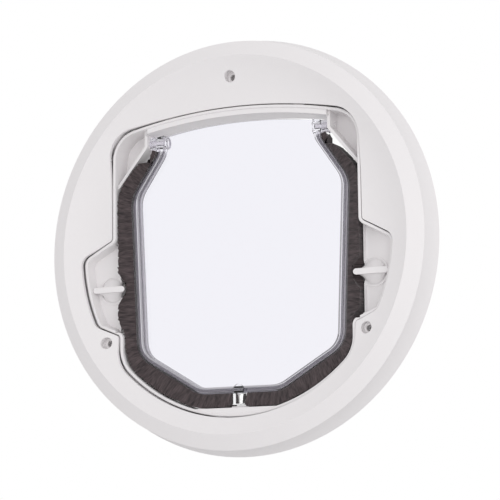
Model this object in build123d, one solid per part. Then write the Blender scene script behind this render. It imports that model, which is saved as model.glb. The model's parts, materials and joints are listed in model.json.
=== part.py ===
from build123d import *
from math import cos, radians, sin, sqrt, tan
import os

# Round cat flap for a pane of glass or a thin door. Millimetres.
# X is to the right and Z up, seen from the room. Y runs from the room to the outside.
# The origin is the middle of the cover, in the plane of the pane's room side.

# Outline of the inner frame, and its front plane
frame_front_y = -13.7
frame_half_width = 85.3
foot_step = 5.1
frame_foot_half_width = frame_half_width - foot_step
well_reach = 20.7
frame_radius = frame_half_width + well_reach
arch_margin = 20.1
arch_top_z = frame_radius - arch_margin
arch_radius = 328.0
frame_corner_radius = 19.0
frame_gap = 0.6
lip_width = 1.9
lip_round = 0.7
well_top_z = 8.5
well_height = 60.7
frame_foot_z = well_top_z - well_height
foot_straight = 8.4
foot_corner_z = frame_foot_z - foot_straight
foot_corner_reach = frame_radius**2 - frame_foot_half_width**2 - foot_corner_z**2
foot_corner_radius = foot_corner_reach / (2 * (frame_radius - frame_foot_half_width))
well_top_slope = 28.0
well_foot_slope = 22.0
well_corner_radius = 7.0
well_inner_radius = 3.0
well_depth = 8.7
well_floor_y = frame_front_y + well_depth
well_floor_wall = 1.8
well_draft = 5.0
well_bead_width = 1.2
well_bead_height = 1.3

# Cover on the room side
collar_margin = 5.0
collar_radius = frame_radius + collar_margin
collar_wall = 1.6
collar_end_y = 3.0
crest_margin = 6.0
crest_radius = collar_radius + crest_margin
crest_height = 7.3
crest_y = frame_front_y - crest_height
bevel_width = 9.6
bevel_outer_radius = crest_radius + bevel_width
bevel_drop = 4.2
bevel_outer_y = crest_y + bevel_drop
side_flare = 3.4
cover_radius = bevel_outer_radius + side_flare
cover_edge_y = -1.3
dish_margin = 20.0
dish_start_radius = frame_radius - dish_margin
cover_wall = 2.2
cover_undercut = 0.5
gasket_rib_width = 1.5

# Clamp screw holes
screw_margin = 1.0
screw_circle_radius = frame_radius - screw_margin
screw_angle = 122.7
screw_hole_radius = 2.0
screw_recess_radius = 3.7
screw_recess_depth = 2.5
screw_seat_y = frame_front_y + screw_recess_depth
screw_seat_wall = 2.0
screw_boss_wall = 1.5

# Tunnel of the inner frame
tunnel_end_y = 4.0
sill_margin = 5.7
sill_z = sill_margin - frame_radius
sill_front_y = -12.4
plate_margin = 22.9
plate_half_span = frame_half_width - plate_margin
pivot_drop = 15.9
pivot_z = arch_top_z - pivot_drop
plate_foot_drop = 2.8
shoulder_top_z = pivot_z - plate_foot_drop
shoulder_height = 25.6
shoulder_bottom_z = shoulder_top_z - shoulder_height
shoulder_edge_y = -9.4
corner_floor_y = 2.0
header_depth = 3.0
header_front_y = -12.7
header_bevel = 2.8
header_end_y = 8.0

# Screws between the inner frame and the cover
ear_radius = 4.6
ear_offset = 3.4
ear_front_y = -11.2
ear_wall = 1.8
ear_arch_x = 45.0
ear_side_z = 38.0
frame_screw_radius = 1.1
frame_screw_hole_radius = 1.4
frame_screw_head_radius = 2.6
frame_screw_head = 1.8
frame_screw_bite = 2.0
ear_boss_radius = 3.2

# Pivot of the flap
pivot_y = -2.5
pin_radius = 1.7
pin_clearance = 0.05
pin_length = 9.9
pin_inner_x = plate_half_span - pin_length
pin_recess = 0.5
hub_radius = 4.0
hub_length = 11.9
hub_inner_x = plate_half_span - hub_length
flange_radius = 4.7
flange_width = 1.2
flange_clearance = 0.4

# Flap
flap_side_gap = 8.0
flap_foot_side_gap = 7.3
flap_neck_gap = 5.5
flap_neck_taper = 0.6
flap_foot_gap = 9.3
flap_foot_height = 25.5
flap_foot_half_width = 28.0
flap_top_gap = 7.5
neck_drop = 7.0
shoulder_drop = 5.6
shoulder_x = frame_half_width - lip_width - flap_side_gap
side_foot_x = frame_foot_half_width - lip_width - flap_foot_side_gap
neck_x = plate_half_span - flap_neck_gap
flap_foot_z = sill_z + flap_foot_gap
flap_neck_top = (neck_x - flap_neck_taper, frame_radius)
flap_neck = (neck_x, pivot_z - neck_drop)
flap_shoulder = (shoulder_x, shoulder_bottom_z - shoulder_drop)
flap_side_foot = (side_foot_x, flap_foot_z + flap_foot_height)
flap_foot = (flap_foot_half_width, flap_foot_z)
neck_round = 12.0
shoulder_round = 20.0
side_foot_round = 17.0
foot_round = 20.0
flap_top_z = arch_top_z - flap_top_gap
rim_side_width = 5.0
rim_slope_width = 4.0
rim_front_y = -7.5
rim_thickness = 7.0
rim_back_y = rim_front_y + rim_thickness
panel_thickness = 2.6
rim_channel_width = 1.8
rim_channel_depth = 1.0
rim_groove_depth = 2.6
rim_groove_wall = 1.2

# Brush seal
brush_clearance = 0.8
brush_shoulder_clearance = 2.0
brush_neck_depth = 12.0
brush_front_y = -11.8
brush_back_spread = 1.5
brush_back_y = rim_back_y + brush_back_spread
brush_fan_angle = 60.0
brush_root_gap = 4.0
brush_top_z = pivot_z - brush_root_gap
backing_thickness = 1.6
backing_fit = 0.1
catch_relief = 1.6

# Magnets and their holders
magnet_radius = 3.9
magnet_height = 6.0
magnet_fit = 0.1
clip_wall = 0.8
clip_floor = 0.7
clip_width = 2 * (magnet_radius + clip_wall)
clip_side_gap = 0.4
clip_foot_gap = 0.8
clip_stud_radius = 3.4
clip_stud_height = 1.2
clip_strap_width = 5.8
foot_width = 11.7
foot_height = 1.3
foot_depth = 7.0
foot_sink = 1.5
sill_magnet_width = 9.0
sill_magnet_height = 2.4
sill_magnet_depth = 5.0

# Turn catches
catch_offset = 4.3
catch_x = frame_half_width + catch_offset
catch_drop = 30.8
catch_z = well_top_z - catch_drop
grip_length = 22.4
grip_thickness = 3.6
grip_front_y = -11.2
grip_height = 2.2
catch_base_radius = 7.4
catch_running_gap = 0.3
base_ring_radius = 9.2
base_ring_width = 0.9
base_ring_height = 0.8
spindle_radius = 3.0
spindle_clearance = 0.05
bearing_radius = 5.0
bearing_end_y = 2.4
pawl_clearance = 0.6
pawl_front_y = bearing_end_y + pawl_clearance
pawl_thickness = 2.0
pawl_reach = 18.4
pawl_width = 6.0
pawl_screw_radius = 1.2
pawl_screw_head_radius = 2.8
pawl_screw_head = 1.6

# Gaskets, and the ring on the outer side of the pane
pane_thickness = 6.0
gasket_thickness = 3.0
gasket_collar_gap = 2.0
front_gasket_inner = collar_radius + gasket_collar_gap
gasket_edge_gap = 5.0
front_gasket_outer = cover_radius - gasket_edge_gap
rib_inset = 2.0
rear_flange = 7.0
rear_radius = collar_radius + rear_flange
rear_gasket_inset = 0.6
rear_gasket_inner = collar_radius + rear_gasket_inset
rear_gasket_outer = rear_radius - rear_gasket_inset
rear_depth = 7.5
rear_bevel = 4.0
rear_collar_gap = 0.4
rear_collar_wall = 1.8
rear_collar_front_y = -8.6
column_radius = 4.0
column_pilot_radius = 1.65
column_mouth_radius = 2.3
column_mouth_depth = 2.0
column_gap = 0.4
liner_fit = 0.4
liner_front_y = 0.5
liner_wall = 1.8

far = 200.0


def slab(sketch, front_y, back_y):
    """Solid of a sketch drawn in X and Z, between two planes of constant Y."""
    return extrude(Plane.XZ.offset(-back_y) * sketch, back_y - front_y, dir=(0, -1, 0))


def rod(x, z, radius, front_y, back_y):
    """Round bar along Y."""
    return slab(Pos(x, z) * Circle(radius), front_y, back_y)


def tube(outer, inner, front_y, back_y):
    """Ring about the Y axis."""
    return slab(Circle(outer) - Circle(inner), front_y, back_y)


def cross_rod(radius, near_x, far_x, side):
    """Round bar along X on the flap's pivot axis, on one side."""
    plane = Plane(origin=(side * near_x, pivot_y, pivot_z), z_dir=(side, 0, 0))
    return extrude(plane * Circle(radius), far_x - near_x, dir=(side, 0, 0))


def window(left, right, bottom, top):
    """Rectangle between four limits."""
    return Pos((left + right) / 2, (bottom + top) / 2) * Rectangle(right - left, top - bottom)


def span(corners):
    """Outline that is its own mirror image, from its right corners, lowest first."""
    return Polygon(*corners, *[(-x, z) for x, z in reversed(corners)], align=None)


def pair(corners):
    """A shape on the right, from its corners anticlockwise, and its mirror image."""
    return Polygon(*corners, align=None) + Polygon(*[(-x, z) for x, z in reversed(corners)], align=None)


def box_pair(near, outer, bottom, top):
    """A rectangle on the right and its mirror image."""
    return window(near, outer, bottom, top) + window(-outer, -near, bottom, top)


def rounded(sketch, x, z, radius):
    """Rounds the pair of corners nearest to (x, z) and its mirror image."""
    corners = sketch.vertices()
    right = corners.sort_by_distance((x, z, 0))[0]
    left = corners.sort_by_distance((-x, z, 0))[0]
    return fillet([right, left], radius)


def arch_z(x, top_z, radius):
    """Height of an arch at a distance from the middle."""
    return top_z - radius + sqrt(radius**2 - x**2)


def arch(inset):
    """Everything below the arch of the frame, moved in by an inset."""
    return Pos(0, arch_top_z - arch_radius) * Circle(arch_radius - inset)


def core(inset, lift=0.0):
    """Outline of the frame without its side wells, moved in by an inset, its step lifted."""
    half = frame_half_width - inset
    foot_half = frame_foot_half_width - inset
    step_z = frame_foot_z + inset + lift
    upper = window(-half, half, step_z, far) & arch(inset)
    corner_z = arch_z(half, arch_top_z - inset, arch_radius - inset)
    upper = rounded(upper, half, corner_z, frame_corner_radius - inset)
    radius = frame_radius - inset
    lower = window(-foot_half, foot_half, -far, step_z + 1) & Circle(radius)
    lower = rounded(lower, foot_half, -sqrt(radius**2 - foot_half**2), foot_corner_radius - inset)
    return upper + lower


def well_lines(inset):
    """Upper and lower line of a side well moved in by an inset: height at the middle, and slope."""
    drop = tan(radians(well_top_slope))
    rise = tan(radians(well_foot_slope))
    top = well_top_z - inset / cos(radians(well_top_slope)) + frame_half_width * drop
    foot = frame_foot_z + inset / cos(radians(well_foot_slope)) - frame_foot_half_width * rise
    return (top, -drop), (foot, rise)


def on_circle(line, radius):
    """Place on the right where a line meets a circle about the middle."""
    height, slope = line
    scale = 1 + slope**2
    x = (sqrt(scale * radius**2 - height**2) - height * slope) / scale
    return x, height + slope * x


def side_wells(inset):
    """Outline of the two side wells, moved in by an inset, up to the middle."""
    (top, drop), (foot, rise) = well_lines(inset)
    inner = frame_foot_half_width - well_reach
    outer = frame_radius + frame_gap + lip_width
    right = [(inner, foot + inner * rise), (outer, foot + outer * rise)]
    right += [(outer, top + outer * drop), (inner, top + inner * drop)]
    return span(right) & Circle(frame_radius - inset)


def frame_outline(inset):
    """Outer outline of the inner frame, moved in by an inset."""
    shape = core(inset, well_height / 4) + side_wells(inset)
    top_line, foot_line = well_lines(inset)
    half = frame_half_width - inset
    foot_half = frame_foot_half_width - inset
    for line in (top_line, foot_line):
        x, z = on_circle(line, frame_radius - inset)
        shape = rounded(shape, x, z, well_corner_radius - inset)
    top_z = top_line[0] + half * top_line[1]
    foot_z = foot_line[0] + foot_half * foot_line[1]
    shape = rounded(shape, half, top_z, well_inner_radius + inset)
    return rounded(shape, foot_half, foot_z, well_inner_radius + inset)


def corner_blocks(grow=0.0):
    """The two upper corners that the tunnel leaves out, beyond plate and shoulder."""
    slope = (shoulder_top_z - shoulder_bottom_z) / (frame_half_width - lip_width - plate_half_span)
    drop = grow * sqrt(1 + slope**2)
    near = plate_half_span - grow
    outer = frame_radius
    line_z = shoulder_top_z - drop
    foot_z = line_z - (outer - plate_half_span) * slope
    return pair([(near, far), (near, line_z + grow * slope), (outer, foot_z), (outer, far)])


def tunnel(inset=0.0):
    """Clear way through the inner frame, moved in by an inset."""
    shape = core(lip_width + inset) - corner_blocks(inset)
    return shape & window(-far, far, sill_z + inset, far)


def screw_centres():
    """Places of the clamp screws: one at the top and two below."""
    spots = []
    for turn in (0.0, screw_angle, -screw_angle):
        angle = radians(turn)
        spots.append((screw_circle_radius * sin(angle), screw_circle_radius * cos(angle)))
    return spots


def ear_centres():
    """Places of the frame screws: two over the arch and two at the sides."""
    arch_ear_z = arch_z(ear_arch_x, arch_top_z, arch_radius) + ear_offset
    spots = []
    for side in (-1, 1):
        spots.append((side * ear_arch_x, arch_ear_z))
        spots.append((side * (frame_half_width + ear_offset), ear_side_z))
    return spots


def dish_y(radius):
    """Depth of the dished face at a radius."""
    rise = frame_front_y - crest_y
    span = crest_radius - dish_start_radius
    bend = (span**2 + rise**2) / (2 * rise)
    return frame_front_y - bend + sqrt(bend**2 - (radius - dish_start_radius) ** 2)


def dish_profile(offset):
    """Arc of the dished face from its start to the crest, moved back by an offset."""
    middle_x = (dish_start_radius + crest_radius) / 2
    return ThreePointArc(
        (dish_start_radius, frame_front_y + offset),
        (middle_x, dish_y(middle_x) + offset),
        (crest_radius, crest_y + offset),
    )


def cover_shell():
    """Dished face, bevel and coved side, turned about the Y axis."""
    side_top_radius = bevel_outer_radius - cover_undercut
    side_top_y = bevel_outer_y + cover_undercut
    cove_x = side_top_radius + 0.32 * (cover_radius - side_top_radius)
    cove_y = (side_top_y + cover_edge_y) / 2
    wall = cover_wall
    core_radius = dish_start_radius / 2
    profile = Curve() + [
        Line((core_radius, frame_front_y), (dish_start_radius, frame_front_y)),
        dish_profile(0),
        Line((crest_radius, crest_y), (bevel_outer_radius, bevel_outer_y)),
        Line((bevel_outer_radius, bevel_outer_y), (side_top_radius, side_top_y)),
        ThreePointArc((side_top_radius, side_top_y), (cove_x, cove_y), (cover_radius, cover_edge_y)),
        Line((cover_radius, cover_edge_y), (cover_radius - wall, cover_edge_y)),
        ThreePointArc(
            (cover_radius - wall, cover_edge_y),
            (cove_x - wall, cove_y + wall / 2),
            (side_top_radius - wall, side_top_y + wall),
        ),
        Line((side_top_radius - wall, side_top_y + wall), (crest_radius, crest_y + wall)),
        dish_profile(wall),
        Line((dish_start_radius, frame_front_y + wall), (core_radius, frame_front_y + wall)),
        Line((core_radius, frame_front_y + wall), (core_radius, frame_front_y)),
    ]
    return revolve(make_face(profile), Axis.Y)


def front_cover():
    """Round cover on the room side."""
    body = cover_shell()
    half_wall = cover_wall / 2
    body += tube(collar_radius, collar_radius - collar_wall, dish_y(collar_radius) + half_wall, collar_end_y)
    half_rib = gasket_rib_width / 2
    inner_rib = front_gasket_inner + rib_inset
    outer_rib = front_gasket_outer - rib_inset
    rib_start = crest_y + bevel_drop * (outer_rib - crest_radius) / bevel_width + half_wall
    body += tube(inner_rib + half_rib, inner_rib - half_rib, dish_y(inner_rib) + half_wall, -gasket_thickness)
    body += tube(outer_rib + half_rib, outer_rib - half_rib, rib_start, -gasket_thickness)
    for x, z in ear_centres():
        body += rod(x, z, ear_boss_radius, frame_front_y + 1, ear_front_y)
    boss_radius = screw_recess_radius + screw_boss_wall
    boss_end_y = screw_seat_y + screw_seat_wall
    boss_start_y = frame_front_y - 1
    for x, z in screw_centres():
        body += rod(x, z, boss_radius, boss_start_y, boss_end_y)
    body -= slab(frame_outline(-frame_gap), -far, 0)
    for x, z in screw_centres():
        body -= rod(x, z, screw_recess_radius, -far, screw_seat_y)
        body -= rod(x, z, screw_hole_radius, -far, far)
    for x, z in ear_centres():
        body -= rod(x, z, frame_screw_radius, ear_front_y - frame_screw_bite, far)
    return body


def inner_frame():
    """Moulding with the tunnel, the wells, the pivot plates and the sill."""
    outline = frame_outline(0)
    inside = frame_outline(lip_width)
    opening = tunnel()
    wall_ring = (core(0) - opening) & (tunnel(-lip_width) + window(-far, far, -far, sill_z + 1))
    upper = window(-far, far, shoulder_bottom_z - 3, far)
    floor_back_y = well_floor_y + well_floor_wall
    corner_back_y = corner_floor_y + well_floor_wall
    body = slab(outline - inside, frame_front_y, floor_back_y)
    front_face = body.faces().sort_by(Axis.Y)[0]
    body = fillet(front_face.edges(), lip_round)
    body += slab((outline - inside) & upper, well_floor_y, corner_back_y)
    body += slab(wall_ring, well_floor_y, tunnel_end_y)
    body += slab(wall_ring & upper, shoulder_edge_y, tunnel_end_y)
    body += slab((core(0) - opening) & upper, corner_floor_y, corner_back_y)
    well_zone = box_pair(frame_half_width, far, -far, far)
    well_wall = slab(outline & well_zone, frame_front_y + lip_round, floor_back_y)
    pocket_depth = well_floor_y - frame_front_y
    front_plane = Plane.XZ.offset(-frame_front_y)
    body += well_wall - extrude(front_plane * inside, pocket_depth, dir=(0, 1, 0), taper=well_draft)
    bead_near = frame_half_width - lip_width
    bead = box_pair(bead_near, bead_near + well_bead_width, frame_foot_z + 3, well_top_z - 1)
    for side in (-1, 1):
        bead -= Pos(side * catch_x, catch_z) * Circle(catch_base_radius + catch_relief)
    body += slab(bead, well_floor_y - well_bead_height, floor_back_y)
    floor_zone = window(-far, far, frame_foot_z, well_top_z + 2)
    body += slab((outline - opening) & floor_zone, well_floor_y, floor_back_y)
    sill = core(lip_width / 2) & window(-far, far, -far, sill_z)
    body += slab(sill, sill_front_y, tunnel_end_y)
    body += header()
    for x, z in ear_centres():
        body += rod(x, z, ear_radius, ear_front_y, ear_front_y + ear_wall)
    for side in (-1, 1):
        body += rod(side * catch_x, catch_z, bearing_radius, well_floor_y, bearing_end_y)
        body += slab(
            Pos(side * catch_x, catch_z) * (Circle(base_ring_radius) - Circle(base_ring_radius - base_ring_width)),
            well_floor_y - base_ring_height,
            floor_back_y,
        )
    return body - frame_cuts(opening)


def header():
    """Arched down-stand over the flap's top edge."""
    reach = plate_half_span + lip_width / 2
    zone = (core(lip_width / 2) - arch(lip_width + header_depth)) & window(-reach, reach, 0, far)
    body = slab(zone, header_front_y, header_end_y)
    front_edges = body.faces().sort_by(Axis.Y)[0].edges()
    return chamfer(front_edges.sort_by(Axis.Z)[0], header_bevel)


def frame_cuts(opening):
    """Holes and slots of the inner frame."""
    cuts = slab(opening & window(-far, far, -far, shoulder_bottom_z - 4), -far, far)
    for side in (-1, 1):
        cuts += cross_rod(pin_radius + pin_clearance / 2, plate_half_span - 1, plate_half_span + lip_width + 1, side)
        cuts += rod(side * catch_x, catch_z, spindle_radius + spindle_clearance, -far, far)
    slot_top = catch_z + pawl_width / 2 + 2 * pawl_clearance
    slot_foot = catch_z - pawl_reach - pawl_clearance
    slot = box_pair(frame_half_width - lip_width - 2, frame_half_width + 1, slot_foot, slot_top)
    cuts += slab(slot, pawl_front_y - pawl_clearance, far)
    for x, z in ear_centres():
        cuts += rod(x, z, frame_screw_hole_radius, ear_front_y - 1, ear_front_y + ear_wall + 1)
    cuts += sill_pocket(magnet_fit)
    cuts += foot_block(magnet_fit, foot_sink)
    return cuts


def sill_pocket(grow):
    """Block of the sill magnet, which sits right under the foot."""
    top = sill_z - foot_sink
    shape = window(
        -sill_magnet_width / 2 - grow, sill_magnet_width / 2 + grow, top - sill_magnet_height - grow, top + grow
    )
    return slab(shape, pivot_y - sill_magnet_depth / 2 - grow, pivot_y + sill_magnet_depth / 2 + grow)


def foot_block(grow, sink):
    """Foot on the sill, let into it by a depth."""
    shape = window(-foot_width / 2 - grow, foot_width / 2 + grow, sill_z - sink, sill_z + foot_height)
    return slab(shape, pivot_y - foot_depth / 2 - grow, pivot_y + foot_depth / 2 + grow)


def moved_in(corners, insets):
    """Corners of an outline given anticlockwise, each side moved in by its own inset."""
    sides = []
    count = len(corners)
    for i in range(count):
        a = Vector(*corners[i])
        b = Vector(*corners[(i + 1) % count])
        along = (b - a).normalized()
        inward = Vector(-along.Y, along.X)
        sides.append((a + inward * insets[i], along))
    moved = []
    for i in range(count):
        (p, d), (q, e) = sides[i - 1], sides[i]
        t = ((q.X - p.X) * e.Y - (q.Y - p.Y) * e.X) / (d.X * e.Y - d.Y * e.X)
        moved.append((p.X + d.X * t, p.Y + d.Y * t))
    return moved


def flap_outline(side_inset, slope_inset):
    """Outline of the flap with its sides and its slopes moved in, and no top limit."""
    right = [flap_foot, flap_side_foot, flap_shoulder, flap_neck, flap_neck_top]
    left = [(-x, z) for x, z in reversed(right)]
    insets = [side_inset, slope_inset, side_inset, slope_inset, slope_inset]
    corners = moved_in(left + right, insets + insets[3::-1] + [0.0])
    shape = Polygon(*corners, align=None)
    shape = rounded(shape, *corners[8], neck_round + slope_inset)
    shape = rounded(shape, *corners[7], shoulder_round - slope_inset)
    shape = rounded(shape, *corners[6], side_foot_round - slope_inset)
    return rounded(shape, *corners[5], foot_round - slope_inset)


def under_flap_top():
    """Everything below the flap's arched top edge."""
    radius = arch_radius - (arch_top_z - flap_top_z)
    return Pos(0, flap_top_z - radius) * Circle(radius)


def flap_panel():
    """Clear panel with its raised rim, pivot hubs and brush groove."""
    outer = flap_outline(0, 0)
    inner = flap_outline(rim_side_width, rim_slope_width)
    below = under_flap_top()
    body = slab((outer - inner) & below, rim_front_y, rim_back_y)
    body += slab(outer & below, pivot_y - panel_thickness / 2, pivot_y + panel_thickness / 2)
    channel_out = (rim_side_width - rim_channel_width) / 2
    channel_slope = (rim_slope_width - rim_channel_width) / 2
    channel = flap_outline(channel_out, channel_slope)
    channel -= flap_outline(channel_out + rim_channel_width, channel_slope + rim_channel_width)
    channel &= window(-far, far, -far, pivot_z - hub_radius - 1)
    body -= slab(channel, rim_front_y - 1, rim_front_y + rim_channel_depth)
    groove = outer - flap_outline(rim_groove_depth, rim_groove_depth)
    groove &= window(-far, far, -far, brush_top_z)
    body -= slab(groove, rim_front_y + rim_groove_wall, rim_back_y - rim_groove_wall)
    for side in (-1, 1):
        hub_end = plate_half_span - flange_clearance
        body += cross_rod(hub_radius, hub_inner_x, hub_end, side)
        body += cross_rod(flange_radius, hub_end - flange_width, hub_end, side)
        body -= cross_rod(pin_radius + pin_clearance, pin_inner_x - 0.5, plate_half_span, side)
    return body


def side_of(shape, side):
    """The half of a sketch on one side, short of the magnet clip."""
    gap = clip_width / 2 + clip_side_gap
    near, end = (gap, far) if side > 0 else (-far, -gap)
    return shape & window(near, end, -far, brush_top_z)


def in_groove(sketch):
    """Solid of a sketch that fills the rim's groove across, short of its walls."""
    margin = rim_groove_wall + backing_fit
    return slab(sketch, rim_front_y + margin, rim_back_y - margin)


def brush_backing(side):
    """Backing strip of the pile, in the groove of the flap's rim."""
    depth = rim_groove_depth - backing_fit
    shape = flap_outline(depth - backing_thickness, depth - backing_thickness) - flap_outline(depth, depth)
    shape = side_of(shape, side)
    return in_groove(shape)


def brush_pile(side):
    """Pile of the brush seal, from its backing to the tunnel's wall, fanned towards the room."""
    face = rim_groove_depth - backing_fit - backing_thickness
    root = side_of(flap_outline(0, 0) - flap_outline(face, face), side)
    body = in_groove(root)
    reach = tunnel(brush_clearance) - corner_blocks(brush_shoulder_clearance)
    reach -= box_pair(plate_half_span - brush_clearance, far, pivot_z - brush_neck_depth, far)
    pile = side_of(reach - flap_outline(0, 0), side)
    body += slab(pile, brush_front_y, brush_back_y)
    fan_height = rim_front_y - brush_front_y + 1
    root_plane = Plane.XZ.offset(-rim_front_y)
    body -= extrude(root_plane * flap_outline(0, 0), fan_height, dir=(0, -1, 0), taper=-brush_fan_angle)
    foot_half = foot_width / 2 + clip_side_gap
    foot_zone = window(-foot_half, foot_half, -far, sill_z + foot_height + clip_side_gap)
    body -= slab(foot_zone, -far, far)
    body -= cross_rod(flange_radius + brush_clearance, hub_inner_x, far, side)
    front_notch_y = well_floor_y - catch_running_gap - 1.2
    for turn in (-1, 1):
        body -= rod(turn * catch_x, catch_z, catch_base_radius + catch_relief, -far, far)
    notch_half = grip_length / 2 + catch_relief
    notch = box_pair(catch_x - grip_length, catch_x, catch_z - notch_half, catch_z + notch_half)
    body -= slab(notch, -far, front_notch_y)
    grip_end = catch_x - grip_length / 2 - catch_relief / 4
    pass_half = grip_thickness / 2 + catch_relief + brush_clearance
    body -= slab(box_pair(grip_end, catch_x, catch_z - pass_half, catch_z + pass_half), -far, far)
    body -= slab(window(-far, far, pivot_z - brush_neck_depth, far), -far, rim_front_y)
    return body


def magnet_clip():
    """Clear cup under the lower rim that holds the flap's magnet, with its strap and stud."""
    half = clip_width / 2
    strap_half = clip_strap_width / 2
    low = sill_z + foot_height + clip_foot_gap
    stud_front = rim_front_y - clip_stud_height
    stud_z = flap_foot_z + rim_slope_width / 2
    body = slab(window(-half, half, low, flap_foot_z), pivot_y - half, pivot_y + half)
    body += rod(0, stud_z, clip_stud_radius, stud_front, rim_front_y)
    body += slab(window(-strap_half, strap_half, flap_foot_z - clip_wall, stud_z), stud_front, rim_front_y)
    body += slab(window(-strap_half, strap_half, flap_foot_z - clip_wall, flap_foot_z), stud_front, pivot_y)
    return body - magnet_rod(magnet_fit / 2, flap_foot_z)


def magnet_rod(grow, top):
    """Upright round magnet under the flap, up to a height."""
    low = sill_z + foot_height + clip_foot_gap + clip_floor
    plane = Plane(origin=(0, pivot_y, low - grow), z_dir=(0, 0, 1))
    return extrude(plane * Circle(magnet_radius + grow), top - low + grow, dir=(0, 0, 1))


def flap_magnet():
    """Magnet of the flap, in its clip."""
    low = sill_z + foot_height + clip_foot_gap + clip_floor
    return magnet_rod(0, low + magnet_height)


def turn_catch(side):
    """Thin grip on a skirt that runs down to a round base, with its spindle."""
    base_y = well_floor_y - catch_running_gap
    neck_y = grip_front_y + grip_height
    shape = SlotOverall(grip_length, grip_thickness)
    grip_plane = Plane.XZ.offset(-neck_y) * Pos(side * catch_x, catch_z)
    body = extrude(grip_plane * shape, grip_height)
    base_plane = Plane.XZ.offset(-base_y) * Pos(side * catch_x, catch_z)
    body += loft([base_plane * Circle(catch_base_radius), grip_plane * shape])
    body += rod(side * catch_x, catch_z, spindle_radius, base_y - 0.5, pawl_front_y + pawl_thickness)
    return body - rod(side * catch_x, catch_z, pawl_screw_radius, pawl_front_y - 3, far)


def catch_pawl(side):
    """Arm on the spindle, hanging down at rest."""
    arm = window(-pawl_width / 2, pawl_width / 2, -pawl_reach + pawl_width / 2, 0)
    arm += Pos(0, -pawl_reach + pawl_width / 2) * Circle(pawl_width / 2)
    arm += Circle(bearing_radius)
    arm -= Circle(spindle_radius)
    return slab(Pos(side * catch_x, catch_z) * arm, pawl_front_y, pawl_front_y + pawl_thickness)


def catch_screw(side):
    """Screw that holds the pawl on the spindle."""
    back_y = pawl_front_y + pawl_thickness
    body = rod(side * catch_x, catch_z, pawl_screw_radius, pawl_front_y - 2, back_y + 0.5)
    head = rod(side * catch_x, catch_z, pawl_screw_head_radius + 1, back_y, back_y + pawl_screw_head)
    cross = window(-0.4, 0.4, -1.6, 1.6) + window(-1.6, 1.6, -0.4, 0.4)
    head -= slab(Pos(side * catch_x, catch_z) * cross, back_y + pawl_screw_head - 0.8, far)
    return body + head


def frame_screws():
    """Self-tapping screws from the frame's ears into the cover."""
    screws = []
    cross = window(-0.35, 0.35, -1.5, 1.5) + window(-1.5, 1.5, -0.35, 0.35)
    head_y = ear_front_y + ear_wall
    for x, z in ear_centres():
        body = rod(x, z, frame_screw_radius, ear_front_y - frame_screw_bite + 0.2, head_y + 0.5)
        head = rod(x, z, frame_screw_head_radius, head_y, head_y + frame_screw_head)
        head -= slab(Pos(x, z) * cross, head_y + frame_screw_head - 0.8, far)
        screws.append(body + head)
    return screws


def rear_ring():
    """Ring on the outer side, with its collar, tunnel liner and screw columns."""
    front_y = pane_thickness + gasket_thickness
    back_y = front_y + rear_depth
    wall = cover_wall
    inner = dish_start_radius / 2
    profile = Polygon(
        (rear_radius, front_y),
        (rear_radius, back_y - rear_bevel),
        (rear_radius - rear_bevel, back_y),
        (inner, back_y),
        (inner, back_y - wall),
        (rear_radius - rear_bevel - wall * 0.4, back_y - wall),
        (rear_radius - wall, back_y - rear_bevel - wall * 0.4),
        (rear_radius - wall, front_y),
        align=None,
    )
    body = revolve(profile, Axis.Y)
    collar_outer = collar_radius - collar_wall - rear_collar_gap
    body += tube(collar_outer, collar_outer - rear_collar_wall, rear_collar_front_y, back_y - wall / 2)
    rib = (rear_gasket_inner + rear_gasket_outer) / 2
    body += tube(rib + gasket_rib_width / 2, rib - gasket_rib_width / 2, front_y, back_y - wall / 2)
    body -= slab(core(-liner_fit), -far, back_y - wall)
    liner = (core(-liner_fit - liner_wall) & Circle(collar_outer - 0.2)) - core(-liner_fit)
    body += slab(liner, liner_front_y, back_y - wall / 2)
    column_front = screw_seat_y + screw_seat_wall + column_gap
    for x, z in screw_centres():
        body += rod(x, z, column_radius, column_front, back_y - wall / 2)
    body -= slab(core(lip_width - liner_fit) & window(-far, far, sill_z, far), back_y - wall - 1, far)
    for x, z in screw_centres():
        body -= rod(x, z, column_pilot_radius, -far, back_y - wall)
        body -= rod(x, z, column_mouth_radius, -far, column_front + column_mouth_depth)
    slot_top = catch_z + bearing_radius + pawl_reach / 3
    slot_foot = catch_z - pawl_reach - pawl_clearance
    slot = box_pair(frame_half_width - 5, catch_x + pawl_width, slot_foot, slot_top)
    body -= slab(slot, -far, pawl_front_y + pawl_thickness + pawl_screw_head + pawl_clearance)
    return body


def sill_magnet_cover():
    """White foot over the magnet in the sill."""
    return foot_block(0, foot_sink - magnet_fit)


def save(name, shape):
    """Writes a piece as one STEP file."""
    solids = shape if isinstance(shape, list) else list(shape.solids())
    export_step(solids[0] if len(solids) == 1 else Compound(children=solids), f"parts/{name}.step")
    print(name, len(solids), round(sum(s.volume for s in solids)), "mm3")


os.makedirs("parts", exist_ok=True)
save("front_cover", front_cover())
save("inner_frame", inner_frame())
save("rear_ring", rear_ring())
save("front_gasket", tube(front_gasket_outer, front_gasket_inner, -gasket_thickness, 0))
save("rear_gasket", tube(rear_gasket_outer, rear_gasket_inner, pane_thickness, pane_thickness + gasket_thickness))
save("flap_panel", flap_panel())
save("magnet_clip", magnet_clip())
save("flap_magnet", flap_magnet())
save("sill_magnet", sill_pocket(0))
save("sill_magnet_cover", sill_magnet_cover())
save("frame_screws", frame_screws())
for name, side in (("left", -1), ("right", 1)):
    save(f"{name}_hinge_pin", cross_rod(pin_radius, pin_inner_x, plate_half_span + lip_width - pin_recess, side))
    save(f"brush_backing_{name}", brush_backing(side))
    save(f"brush_pile_{name}", brush_pile(side))
    save(f"{name}_catch", turn_catch(side))
    save(f"{name}_catch_pawl", catch_pawl(side))
    save(f"{name}_catch_screw", catch_screw(side))
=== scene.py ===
import json
import math

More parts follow.
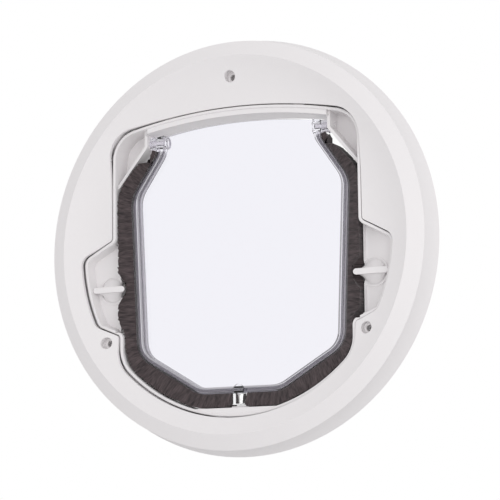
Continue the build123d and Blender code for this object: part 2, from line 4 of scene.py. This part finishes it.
import bpy
import numpy as np
from mathutils import Matrix


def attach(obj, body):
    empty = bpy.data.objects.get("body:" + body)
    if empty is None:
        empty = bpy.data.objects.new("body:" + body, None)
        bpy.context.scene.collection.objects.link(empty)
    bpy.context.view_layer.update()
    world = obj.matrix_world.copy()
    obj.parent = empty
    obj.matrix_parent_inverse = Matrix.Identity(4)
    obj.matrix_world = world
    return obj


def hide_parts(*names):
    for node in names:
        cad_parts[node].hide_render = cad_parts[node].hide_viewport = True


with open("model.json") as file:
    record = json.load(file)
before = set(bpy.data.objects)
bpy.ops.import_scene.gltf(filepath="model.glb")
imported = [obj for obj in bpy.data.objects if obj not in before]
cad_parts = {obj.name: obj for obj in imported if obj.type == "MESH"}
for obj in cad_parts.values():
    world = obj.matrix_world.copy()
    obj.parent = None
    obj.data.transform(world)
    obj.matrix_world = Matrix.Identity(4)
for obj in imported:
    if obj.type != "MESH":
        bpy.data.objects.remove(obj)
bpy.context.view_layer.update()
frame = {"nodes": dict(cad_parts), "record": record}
print("stage: solids loaded")


# shader helpers
class Value:
    # a socket that can stand in a sum or a product
    def __init__(self, graph, socket):
        self.graph = graph
        self.socket = socket

    def math(self, operation, first, second):
        node = self.graph.add("ShaderNodeMath", {"operation": operation}, {0: first, 1: second})
        return Value(self.graph, node.outputs[0])

    def __add__(self, other):
        return self.math("ADD", self, other)

    def __radd__(self, other):
        return self.math("ADD", other, self)

    def __sub__(self, other):
        return self.math("SUBTRACT", self, other)

    def __rsub__(self, other):
        return self.math("SUBTRACT", other, self)

    def __mul__(self, other):
        return self.math("MULTIPLY", self, other)


class Graph:
    # the node tree of one material or of the world
    def __init__(self, owner):
        owner.use_nodes = True
        self.tree = owner.node_tree
        self.tree.nodes.clear()

    def add(self, kind, settings=None, inputs=None):
        node = self.tree.nodes.new(kind)
        for name, setting in (settings or {}).items():
            if name == "stops":
                ramp = node.color_ramp
                while len(ramp.elements) < len(setting):
                    ramp.elements.new(0.5)
                for element, (position, colour) in zip(ramp.elements, setting):
                    element.position = position
                    element.color = colour
            else:
                setattr(node, name, setting)
        for name, source in (inputs or {}).items():
            if isinstance(source, Value):
                self.tree.links.new(source.socket, node.inputs[name])
            else:
                node.inputs[name].default_value = source
        return node

    def value(self, kind, settings=None, inputs=None, output=0):
        return Value(self, self.add(kind, settings, inputs).outputs[output])


def rgba(colour):
    return (colour[0], colour[1], colour[2], 1.0)


def newMaterial(name):
    material = bpy.data.materials.new(name)
    return material, Graph(material)


noiseMiddle = 0.5


def noise(graph, coords, scale, detail):
    return graph.value("ShaderNodeTexNoise", {}, {"Vector": coords, "Scale": scale, "Detail": detail})


def uneven(middle, spread, pattern):
    # a value that a noise moves up and down about its middle
    return middle + (pattern - noiseMiddle) * spread


def surface(graph, inputs):
    shader = graph.value("ShaderNodeBsdfPrincipled", {}, inputs)
    graph.add("ShaderNodeOutputMaterial", {}, {"Surface": shader})


def whiteMoulding(name, settings):
    # satin white plastic: a faint mottle in its gloss and a very shallow bump
    material, graph = newMaterial(name)
    coords = graph.value("ShaderNodeTexCoord", output="Object")
    mottle = noise(graph, coords, settings["mottleScale"], settings["mottleDetail"])
    grain = noise(graph, coords, settings["grainScale"], settings["grainDetail"])
    bump = graph.value("ShaderNodeBump", {}, {
        "Height": grain, "Strength": settings["grainStrength"], "Distance": settings["grainDepth"]})
    surface(graph, {
        "Base Color": rgba(settings["colour"]),
        "Roughness": uneven(settings["roughness"], settings["mottle"], mottle),
        "Normal": bump,
        "Specular IOR Level": settings["specular"],
    })
    return material


def tintAndDepthShade(graph, coords, settings):
    # the panel keeps its own tint, and painted shade darkens the thick parts that stand out from the panel's
    # faces: the rim's walls and front face get darker colours by their distance from the middle plane,
    # standing in for the grey that refraction gives a thick clear rim; the hubs, above hubStart, are as light
    # as the panel
    axes = graph.add("ShaderNodeSeparateXYZ", {}, {0: coords})
    depth = Value(graph, axes.outputs[1]) + settings["middle"]
    distance = graph.value("ShaderNodeMath", {"operation": "ABSOLUTE"}, {0: depth})
    below = graph.value("ShaderNodeMath", {"operation": "LESS_THAN"}, {
        0: Value(graph, axes.outputs[2]), 1: settings["hubStart"]})
    panel, wall, face = (rgba(settings[key]) for key in ("colour", "wallShadeColour", "faceShadeColour"))
    stops = [(settings["panelEnd"], panel), (settings["wallStart"], wall),
             (settings["wallEnd"], wall), (settings["faceStart"], face)]
    return graph.value("ShaderNodeValToRGB", {"stops": stops}, {
        "Fac": distance * below * settings["perMetre"]})


def clearMoulding(name, settings):
    # clear plastic in its own tint, with painted shade on its thick rim by depth; shadow rays and diffuse
    # rays pass straight on
    material, graph = newMaterial(name)
    coords = graph.value("ShaderNodeTexCoord", output="Object")
    cloud = noise(graph, coords, settings["cloudScale"], settings["cloudDetail"])
    body = graph.value("ShaderNodeBsdfPrincipled", {}, {
        "Base Color": tintAndDepthShade(graph, coords, settings),
        "Roughness": uneven(settings["roughness"], settings["cloud"], cloud),
        "IOR": settings["ior"],
        "Transmission Weight": 1.0,
    })
    passing = graph.value("ShaderNodeBsdfTransparent", {}, {"Color": rgba(settings["shade"])})
    rays = graph.add("ShaderNodeLightPath")
    shadow = Value(graph, rays.outputs["Is Shadow Ray"])
    diffuse = Value(graph, rays.outputs["Is Diffuse Ray"])
    either = 1 - (1 - shadow) * (1 - diffuse)
    shader = graph.value("ShaderNodeMixShader", {}, {0: either, 1: body, 2: passing})
    graph.add("ShaderNodeOutputMaterial", {}, {"Surface": shader})
    return material


def pileFibre(name, settings):
    # dark brush fibre: fine streaks run from root to tip, with tufts that differ in tone along the strip
    material, graph = newMaterial(name)
    coords = graph.value("ShaderNodeUVMap", {"uv_map": "strand"})
    fine = graph.value("ShaderNodeMapping", {}, {"Vector": coords, "Scale": settings["fineStretch"]})
    broad = graph.value("ShaderNodeMapping", {}, {"Vector": coords, "Scale": settings["broadStretch"]})
    strand = noise(graph, fine, 1.0, settings["fineDetail"])
    tuft = noise(graph, broad, 1.0, settings["broadDetail"])
    blend = strand * settings["fineShare"] + tuft * (1 - settings["fineShare"])
    stops = [(settings["darkEnd"], rgba(settings["dark"])), (settings["lightStart"], rgba(settings["light"]))]
    tone = graph.value("ShaderNodeValToRGB", {"stops": stops}, {"Fac": blend})
    bump = graph.value("ShaderNodeBump", {}, {
        "Height": strand, "Strength": settings["strength"], "Distance": settings["depth"]})
    surface(graph, {
        "Base Color": tone,
        "Roughness": settings["roughness"],
        "Normal": bump,
        "Specular IOR Level": settings["specular"],
        "Sheen Weight": settings["sheen"],
    })
    return material


def foamRubber(name, settings):
    # closed-cell foam, dull and finely pitted
    material, graph = newMaterial(name)
    coords = graph.value("ShaderNodeTexCoord", output="Object")
    cells = graph.value("ShaderNodeTexVoronoi", {}, {"Vector": coords, "Scale": settings["cellScale"]})
    bump = graph.value("ShaderNodeBump", {}, {
        "Height": cells, "Strength": settings["strength"], "Distance": settings["depth"]})
    surface(graph, {
        "Base Color": rgba(settings["colour"]),
        "Roughness": settings["roughness"],
        "Normal": bump,
    })
    return material


def plainSteel(name, settings):
    # plated steel with a little unevenness in its gloss
    material, graph = newMaterial(name)
    coords = graph.value("ShaderNodeTexCoord", output="Object")
    wear = noise(graph, coords, settings["wearScale"], settings["wearDetail"])
    surface(graph, {
        "Base Color": rgba(settings["colour"]),
        "Metallic": 1.0,
        "Roughness": uneven(settings["roughness"], settings["wear"], wear),
    })
    return material


finishes = {
    "white": {"colour": (0.872, 0.85, 0.856), "roughness": 0.42, "specular": 0.4,
              "mottle": 0.06, "mottleScale": 40.0, "mottleDetail": 3.0,
              "grainScale": 900.0, "grainDetail": 2.0, "grainStrength": 0.1, "grainDepth": 0.00004},
    # painted shade: the clear finish's wall and face colours darken the rim's thick walls and front face to
    # the grey that refraction gives them; the panel colour is the plastic's own tint
    "clear": {"colour": (0.885, 0.88, 0.935), "wallShadeColour": (0.24, 0.23, 0.26),
              "faceShadeColour": (0.66, 0.65, 0.68), "shade": (0.97, 0.97, 0.985), "ior": 1.45,
              "roughness": 0.02, "cloud": 0.01, "cloudScale": 12.0, "cloudDetail": 2.0,
              "middle": 0.0025, "perMetre": 160.0, "hubStart": 0.0645,
              "panelEnd": 0.22, "wallStart": 0.30, "wallEnd": 0.68, "faceStart": 0.77},
    # painted shade: the clip's wall colour is a little darker than its own colour
    "clip": {"colour": (0.93, 0.93, 0.94), "wallShadeColour": (0.9, 0.9, 0.91),
             "faceShadeColour": (0.93, 0.93, 0.94), "shade": (0.98, 0.98, 0.985), "ior": 1.4,
             "roughness": 0.04, "cloud": 0.01, "cloudScale": 12.0, "cloudDetail": 2.0,
             "middle": 0.0025, "perMetre": 160.0, "hubStart": 0.0645,
             "panelEnd": 0.2, "wallStart": 0.3, "wallEnd": 0.6, "faceStart": 0.8},
    "pile": {"dark": (0.010, 0.007, 0.008), "light": (0.105, 0.080, 0.083), "darkEnd": 0.34,
             "lightStart": 0.66, "roughness": 0.75, "specular": 0.3, "sheen": 0.15,
             "fineStretch": (2.6, 0.9, 1.0), "fineDetail": 3.0, "fineShare": 0.6,
             "broadStretch": (0.45, 0.5, 1.0), "broadDetail": 2.0, "strength": 0.5, "depth": 0.0003},
    "foam": {"colour": (0.05, 0.05, 0.055), "roughness": 0.9, "cellScale": 900.0,
             "strength": 0.4, "depth": 0.0002},
    "steel": {"colour": (0.80, 0.785, 0.77), "roughness": 0.2, "wear": 0.12, "wearScale": 160.0,
              "wearDetail": 3.0},
}

whitePlastic = whiteMoulding("whitePlastic", finishes["white"])
clearPlastic = clearMoulding("clearPlastic", finishes["clear"])
clearClip = clearMoulding("clearClip", finishes["clip"])
brushPile = pileFibre("brushPile", finishes["pile"])
blackFoam = foamRubber("blackFoam", finishes["foam"])
platedSteel = plainSteel("platedSteel", finishes["steel"])
slotMaterials = {"white_plastic": whitePlastic, "clear_plastic": clearPlastic, "brush": brushPile,
                 "foam": blackFoam, "steel": platedSteel}
print("stage: materials made")


# mesh helpers
mm = 0.001
weldsPerMetre = 1e6
sharpAngles = {"solid": 35.0, "pile": 60.0}
record = frame["record"]
nodeSlots = {part["node"]: part["material_slot"] for part in record["subparts"]}
nodeBodies = {node: body for body, nodes in record["behaviour"]["bodies"].items() for node in nodes}


def tubeMesh(name, points):
    # rows of closed sections in millimetres become a capped tube, turned so that its volume is positive
    rows, columns = points.shape[:2]
    ids = np.arange(rows * columns).reshape(rows, columns)
    caps = [ids[0], ids[-1][::-1]]
    ids = np.concatenate([ids, ids[:, :1]], axis=1)
    quads = np.stack([ids[:-1, :-1], ids[1:, :-1], ids[1:, 1:], ids[:-1, 1:]], axis=-1).reshape(-1, 4)
    flat = points.reshape(-1, 3) * mm
    a, b, c, d = (flat[quads[:, k]] for k in range(4))
    volume = (np.einsum("ij,ij->i", a, np.cross(b, c)) + np.einsum("ij,ij->i", a, np.cross(c, d))).sum()
    if volume < 0:
        quads = quads[:, ::-1]
        caps = [cap[::-1] for cap in caps]
    mesh = bpy.data.meshes.new(name)
    mesh.from_pydata(flat.tolist(), [], quads.tolist() + [cap.tolist() for cap in caps])
    mesh.update()
    return mesh


def place(mesh, node, sharpAngle):
    # puts a mesh in the scene instead of a node, on its body and with its finish
    piece = bpy.data.objects.new(mesh.name, mesh)
    bpy.context.collection.objects.link(piece)
    mesh.shade_smooth()
    mesh.set_sharp_from_angle(angle=math.radians(sharpAngle))
    mesh.materials.append(slotMaterials[nodeSlots[node]])
    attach(piece, nodeBodies[node])
    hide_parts(node)
    return piece


def weldedCopy(node, name):
    # the node's own shape with its points merged, so that round faces shade smoothly
    source = frame["nodes"][node].data
    corners = np.empty(len(source.loops), dtype=np.int32)
    source.loops.foreach_get("vertex_index", corners)
    points = np.empty(len(source.vertices) * 3, dtype=np.float32)
    source.vertices.foreach_get("co", points)
    rounded = np.round(points.reshape(-1, 3).astype(np.float64) * weldsPerMetre).astype(np.int64)
    unique, inverse = np.unique(rounded, axis=0, return_inverse=True)
    faces = inverse.reshape(-1)[corners].reshape(-1, 3)
    keep = (faces[:, 0] != faces[:, 1]) & (faces[:, 1] != faces[:, 2]) & (faces[:, 2] != faces[:, 0])
    mesh = bpy.data.meshes.new(name)
    mesh.from_pydata((unique / weldsPerMetre).tolist(), [], faces[keep].tolist())
    mesh.update()
    return place(mesh, node, sharpAngles["solid"])


# solids
for nodeName, node in frame["nodes"].items():
    node.data.materials.clear()
    node.data.materials.append(slotMaterials[nodeSlots[nodeName]])
weldedNodes = ["front_cover", "inner_frame", "rear_ring", "flap_panel", "magnet_clip", "left_catch",
               "right_catch", "sill_magnet_cover", "front_gasket", "rear_gasket"]
for nodeName in weldedNodes:
    look = weldedCopy(nodeName, nodeName + ".look")
    if nodeName == "magnet_clip":
        look.data.materials[0] = clearClip
print("stage: solids dressed")


# brush seal, in the row's millimetres
flapEdge = {"corners": [(56.3, 78.0), (56.9, 63.0), (75.4, 36.0), (71.0, -65.5), (28.0, -91.0), (0.0, -91.0)],
            "roundings": [12.0, 20.0, 17.0, 20.0], "spacing": 0.3, "arcPoints": 25}
tunnelEdge = {"plateTop": 90.0, "plate": 62.4, "shoulderTop": 67.2, "half": 83.4, "shoulderFoot": 41.6,
              "stepZ": -50.3, "footHalf": 78.3, "cornerRadius": 20.0, "circle": 104.1, "sillZ": -100.3,
              "sillEnd": -20.0, "bendPoints": 16, "bowlPoints": 24}
crossing = {"parallel": 1e-9, "nearest": 0.1, "slack": 1e-6, "farthest": 1e3}
pleats = {"waves": (2.3, 3.4, 5.6), "driftWidth": 61, "drift": 9.0, "driftStep": 0.05,
          "strengthWidth": 81, "least": 0.6, "most": 0.8, "turn": 6.28}
brushPlan = {"topZ": 64.6, "clipGap": 5.1, "slopeWidth": 5, "normalWidth": 25,
             # reach towards the tunnel's edge
             "clearance": 0.45, "pivotY": -2.5, "pivotZ": 70.0, "edgeY": -9.4, "leastDrop": 7.5,
             "shoulderZ": 38.0, "shoulderFade": 8.0, "riseShare": 0.55, "evenWidth": 13,
             # depth of the section, which is shallower at the neck beside the hub
             "rootFront": -7.0, "rootBack": -1.0, "tipFront": -11.5, "neckFront": -7.4, "tipBack": 0.7,
             "neckZ": 59.5, "neckFade": 4.0, "neckCalm": 0.7, "faceBend": 0.8,
             "frontPoints": 12, "tipPoints": 7, "backPoints": 7,
             # pleats, uneven tips and fibres that lean along the strip
             "waveHeight": 0.55, "uneven": 0.25, "lean": 6.4, "leanWidth": 45, "leanSeed": 7,
             "leanReach": 8.0, "leanFade": 6.0, "strandLength": 2.0,
             # what the strip keeps clear of
             "plateZ": 57.0, "plateGap": 1.0, "catchX": 89.6, "catchZ": -22.3, "catchY": -6.4,
             "catchBase": 9.0, "catchSweep": 12.2, "catchPush": 1.05, "gripHalf": 4.3, "gripEnd": 77.7,
             "footHalf": 6.4, "footZ": -98.5, "flangeGap": 5.5, "flangePush": 1.3}
strips = [("brush_pile_left", "brushStripLeft", -1, 11), ("brush_pile_right", "brushStripRight", 1, 29)]


def roundedPath(plan):
    # straight runs joined by arcs: each arc's middle lies on the corner's bisector, radius over the sine of
    # the half angle away from it, and the whole is then spaced evenly along its length
    corners = np.array(plan["corners"])
    pieces = [corners[:1]]
    for before, corner, after, radius in zip(corners, corners[1:], corners[2:], plan["roundings"]):
        back = (before - corner) / np.linalg.norm(before - corner)
        ahead = (after - corner) / np.linalg.norm(after - corner)
        half = 0.5 * math.acos(back @ ahead)
        reach = radius / math.tan(half)
        middle = corner + (back + ahead) / np.linalg.norm(back + ahead) * radius / math.sin(half)
        start = corner + back * reach - middle
        end = corner + ahead * reach - middle
        turn = math.pi - 2 * half
        t = np.linspace(0, 1, plan["arcPoints"])[:, None]
        arc = (np.sin((1 - t) * turn) * start + np.sin(t * turn) * end) / math.sin(turn)
        pieces.append(middle + arc)
    pieces.append(corners[-1:])
    line = np.concatenate(pieces)
    steps = np.linalg.norm(np.diff(line, axis=0), axis=1)
    along = np.concatenate([[0], np.cumsum(steps)])
    even = np.linspace(0, along[-1], round(along[-1] / plan["spacing"]) + 1)
    return np.stack([np.interp(even, along, line[:, 0]), np.interp(even, along, line[:, 1])], axis=1)


def tunnelPoints(plan):
    # the clear way's edge on the right, from the pivot plate down to the middle of the sill
    circle, half, corner = plan["circle"], plan["footHalf"], plan["cornerRadius"]
    cornerX = half - corner
    cornerZ = -math.sqrt((circle - corner) ** 2 - cornerX ** 2)
    start = math.atan2(cornerZ, cornerX)
    turn = np.linspace(0, start, plan["bendPoints"])
    bend = np.stack([cornerX + corner * np.cos(turn), cornerZ + corner * np.sin(turn)], axis=1)
    sweep = np.linspace(start, math.asin(plan["sillZ"] / circle), plan["bowlPoints"])[1:]
    bowl = circle * np.stack([np.cos(sweep), np.sin(sweep)], axis=1)
    top = [(plan["plate"], plan["plateTop"]), (plan["plate"], plan["shoulderTop"]),
           (plan["half"], plan["shoulderFoot"]), (plan["half"], plan["stepZ"]), (half, plan["stepZ"])]
    return np.concatenate([top, bend, bowl, [(plan["sillEnd"], plan["sillZ"])]])


def smoothed(values, width):
    # running mean with the ends held
    kernel = np.ones(width) / width
    ends = (width // 2, width - 1 - width // 2)
    padded = np.pad(values, [ends] + [(0, 0)] * (values.ndim - 1), mode="edge")
    if values.ndim == 1:
        return np.convolve(padded, kernel, mode="valid")
    return np.stack([np.convolve(column, kernel, mode="valid") for column in padded.T], axis=1)


def outward(path, plan):
    # unit normals to the right of a path that runs downwards on the right-hand side
    slope = np.gradient(smoothed(path, plan["slopeWidth"]), axis=0)
    normal = smoothed(np.stack([-slope[:, 1], slope[:, 0]], axis=1), plan["normalWidth"])
    return normal / np.linalg.norm(normal, axis=1, keepdims=True)


def reachTo(points, directions, edge, limits):
    # distance along each direction to the nearest crossing with a chain of straight runs
    start, run = edge[:-1], np.diff(edge, axis=0)
    gap = start[None] - points[:, None]
    cross = directions[:, None, 0] * run[None, :, 1] - directions[:, None, 1] * run[None, :, 0]
    cross = np.where(np.abs(cross) < limits["parallel"], limits["parallel"], cross)
    along = (gap[..., 0] * run[None, :, 1] - gap[..., 1] * run[None, :, 0]) / cross
    share = (gap[..., 0] * directions[:, None, 1] - gap[..., 1] * directions[:, None, 0]) / cross
    good = (along > limits["nearest"]) & (share >= -limits["slack"]) & (share <= 1 + limits["slack"])
    return np.where(good, along, limits["farthest"]).min(axis=1)


def waveSum(length, seed, plan):
    # uneven pleats: sines of a few lengths, each with its phase drifting slowly at random
    rng = np.random.default_rng(seed)
    total = np.zeros(len(length))
    for wave in plan["waves"]:
        drift = smoothed(rng.normal(0, 1, len(length)), plan["driftWidth"]) * plan["drift"]
        strength = plan["least"] + smoothed(rng.random(len(length)), plan["strengthWidth"]) * plan["most"]
        phase = np.cumsum(drift) * plan["driftStep"] + rng.random() * plan["turn"]
        total += strength * np.sin(2 * math.pi * length / wave + phase)
    return total / len(plan["waves"])


def stripReach(path, normal, plan):
    # the pile stands out to the tunnel's edge less the clearance, and less a share of the rise near the
    # shoulders: rise is drop - sqrt(drop^2 - depth^2), with drop from the pivot down to the tip and depth
    # from the pivot out to the front edge
    reach = reachTo(path, normal, tunnelPoints(tunnelEdge), crossing)
    tip = path + normal * reach[:, None]
    drop = np.maximum(plan["pivotZ"] - tip[:, 1], plan["leastDrop"])
    rise = drop - np.sqrt(drop ** 2 - (plan["pivotY"] - plan["edgeY"]) ** 2)
    shoulder = np.clip((tip[:, 1] - plan["shoulderZ"]) / plan["shoulderFade"], 0, 1)
    reach = reach - plan["clearance"] - shoulder * rise * plan["riseShare"]
    wide = plan["evenWidth"]
    reach = np.array([reach[max(0, k - wide):k + wide + 1].min() for k in range(len(reach))])
    return smoothed(reach, 2 * wide + 1)


def sectionDepths(pleat, neck, plan):
    # a section runs from the root along the front face, down the tip and back along the rear face. Share is
    # how far out each point lies. The pleats move the front by the share and the tip by what is left to go
    front = np.linspace(0, 1, plan["frontPoints"])
    tipRun = np.linspace(0, 1, plan["tipPoints"])[1:-1]
    back = np.linspace(1, 0, plan["backPoints"])
    wave = pleat[:, None] * plan["waveHeight"]
    tipFront = (plan["tipFront"] + (plan["neckFront"] - plan["tipFront"]) * neck)[:, None]
    frontY = plan["rootFront"] + (tipFront - plan["rootFront"]) * front ** plan["faceBend"] + wave * front
    tipY = tipFront + (plan["tipBack"] - tipFront) * tipRun + wave * (1 - tipRun)
    backY = plan["rootBack"] + (plan["tipBack"] - plan["rootBack"]) * back ** plan["faceBend"]
    share = np.concatenate([front, np.ones(len(tipRun)), back])
    return share, np.concatenate([frontY, tipY, np.tile(backY, (len(pleat), 1))], axis=1)


def keptClear(x, y, z, plan):
    # off the pivot plate, the turn catch and its grip, the foot and the flange round the pivot, in that order
    x = np.where(z > plan["plateZ"], np.minimum(x, tunnelEdge["plate"] - plan["plateGap"]), x)
    away = np.hypot(x - plan["catchX"], z - plan["catchZ"])
    limit = np.where(y < plan["catchY"], plan["catchSweep"], plan["catchBase"])
    x = x - np.clip(limit - away, 0, None) * plan["catchPush"]
    grip = (np.abs(z - plan["catchZ"]) < plan["gripHalf"]) & (y < plan["catchY"])
    x = np.where(grip, np.minimum(x, plan["gripEnd"]), x)
    z = np.where(x < plan["footHalf"], np.maximum(z, plan["footZ"]), z)
    fromPivot = np.hypot(y - plan["pivotY"], z - plan["pivotZ"])
    return x, z - np.clip(plan["flangeGap"] - fromPivot, 0, None) * plan["flangePush"]


def addStrandMap(mesh, share, spacing, plan):
    # u runs along the strip in millimetres and v from root to tip
    layer = mesh.uv_layers.new(name="strand")
    corners = np.empty(len(mesh.loops), dtype=np.int32)
    mesh.loops.foreach_get("vertex_index", corners)
    along, across = np.divmod(corners, len(share))
    strand = np.stack([along * spacing, share[across] * plan["strandLength"]], axis=1)
    layer.data.foreach_set("uv", strand.astype(np.float32).ravel())


def brushStrip(name, side, seed, plan):
    # a fan of pile from the flap's rim to the tunnel's wall: sections stand along the rim, and their points
    # lie at a share of the reach along the normal, moved along the rim by the lean times the share squared
    path = roundedPath(flapEdge)
    path = path[(path[:, 1] < plan["topZ"]) & (path[:, 0] > plan["clipGap"])]
    length = np.arange(len(path)) * flapEdge["spacing"]
    normal = outward(path, plan)
    reach = stripReach(path, normal, plan)
    neck = np.clip((path[:, 1] - plan["neckZ"] + plan["neckFade"]) / plan["neckFade"], 0, 1)
    pleat = waveSum(length, seed, pleats) * (1 - plan["neckCalm"] * neck)
    share, y = sectionDepths(pleat, neck, plan)
    shorter = np.clip(pleat, -1, 1) * plan["uneven"] + plan["uneven"]
    distance = share[None] * (reach - shorter)[:, None]
    sway = np.random.default_rng(seed + plan["leanSeed"]).normal(0, 1, len(path))
    lean = smoothed(sway, plan["leanWidth"]) * plan["lean"]
    lean *= np.clip(reach, 0, plan["leanReach"]) / plan["leanReach"]
    lean *= np.minimum(1, np.minimum(length, length[-1] - length) / plan["leanFade"])
    tangent = lean[:, None] * share[None] ** 2
    slope = np.gradient(path, axis=0)
    slope /= np.linalg.norm(slope, axis=1, keepdims=True)
    flat = path[:, None] + normal[:, None] * distance[..., None] + slope[:, None] * tangent[..., None]
    x, z = keptClear(flat[..., 0], y, flat[..., 1], plan)
    mesh = tubeMesh(name, np.stack([side * x, y, z], axis=-1))
    addStrandMap(mesh, share, flapEdge["spacing"], plan)
    return mesh


for nodeName, meshName, side, seed in strips:
    place(brushStrip(meshName, side, seed, brushPlan), nodeName, sharpAngles["pile"])
print("stage: brush made")


# floor, world and lamps
floorPlan = {"height": -0.36, "size": 8.0, "colour": (0.86, 0.86, 0.86), "roughness": 0.9}


def addFloor(plan):
    # a square at one height, well under the object
    half = plan["size"] / 2
    corners = [(-half, -half), (half, -half), (half, half), (-half, half)]
    mesh = bpy.data.meshes.new("floor")
    mesh.from_pydata([(x, y, plan["height"]) for x, y in corners], [], [range(len(corners))])
    floor = bpy.data.objects.new("floor", mesh)
    bpy.context.collection.objects.link(floor)
    material, graph = newMaterial("paleFloor")
    surface(graph, {"Base Color": rgba(plan["colour"]), "Roughness": plan["roughness"]})
    mesh.materials.append(material)


addFloor(floorPlan)

skyPlan = {"fill": (0.69, 0.685, 0.69), "backdrop": (1.0, 1.0, 1.0)}


def buildWorld(plan):
    # one even colour lights the object; white stands behind it in view, in gloss and through clear plastic
    world = bpy.data.worlds.new("studio")
    bpy.context.scene.world = world
    graph = Graph(world)
    rays = graph.add("ShaderNodeLightPath")
    camera = Value(graph, rays.outputs["Is Camera Ray"])
    glossy = Value(graph, rays.outputs["Is Glossy Ray"])
    through = Value(graph, rays.outputs["Is Transmission Ray"])
    seen = 1 - (1 - camera) * (1 - through) * (1 - glossy)
    colour = graph.value("ShaderNodeMix", {"data_type": "RGBA"}, {
        "Factor": seen, 6: rgba(plan["fill"]), 7: rgba(plan["backdrop"])}, output=2)
    light = graph.value("ShaderNodeBackground", {}, {"Color": colour, "Strength": 1.0})
    graph.add("ShaderNodeOutputWorld", {}, {"Surface": light})


buildWorld(skyPlan)

lampPlans = [
    {"name": "keySoft", "place": (0.35, -1.3, -0.35), "size": 1.4, "power": 6.0},
    {"name": "fillSoft", "place": (1.3, -0.9, 0.3), "size": 1.2, "power": 4.5},
]


def addLamp(plan):
    # a square soft lamp that faces the middle of the object
    data = bpy.data.lights.new(plan["name"], "AREA")
    data.shape = "SQUARE"
    data.size = plan["size"]
    data.energy = plan["power"]
    lamp = bpy.data.objects.new(plan["name"], data)
    bpy.context.collection.objects.link(lamp)
    x, y, z = plan["place"]
    lamp.location = plan["place"]
    lamp.rotation_euler = (math.atan2(math.hypot(x, y), z), 0.0, math.atan2(x, -y))


for lampPlan in lampPlans:
    addLamp(lampPlan)
print("stage: floor, world and lamps placed")


# camera
cameraPlan = {"azimuth": 26.45, "elevation": -8.57, "roll": -0.56, "distance": 1.2278,
              "aim": (0.0, -0.0137, 0.0), "lens": 143.9, "sensor": 36.0, "shiftX": 0.0336, "shiftY": -0.0121}


def addCamera(plan):
    # stands on the line of sight at a distance from the aim and rolls about that line
    a, e, r = (math.radians(plan[key]) for key in ("azimuth", "elevation", "roll"))
    away = np.array([math.sin(a) * math.cos(e), -math.cos(a) * math.cos(e), math.sin(e)])
    right = np.array([math.cos(a), math.sin(a), 0.0])
    up = np.cross(away, right)
    xAxis = right * math.cos(r) + up * math.sin(r)
    yAxis = up * math.cos(r) - right * math.sin(r)
    stand = np.array(plan["aim"]) + away * plan["distance"]
    data = bpy.data.cameras.new("photoCamera")
    data.lens = plan["lens"]
    data.sensor_width = plan["sensor"]
    data.shift_x = plan["shiftX"]
    data.shift_y = plan["shiftY"]
    camera = bpy.data.objects.new("photoCamera", data)
    bpy.context.collection.objects.link(camera)
    matrix = np.eye(4)
    matrix[:3, 0], matrix[:3, 1], matrix[:3, 2], matrix[:3, 3] = xAxis, yAxis, away, stand
    camera.matrix_world = Matrix(matrix.tolist())
    bpy.context.scene.camera = camera


addCamera(cameraPlan)
bpy.context.scene.view_settings.view_transform = "Standard"
print("stage: camera placed")
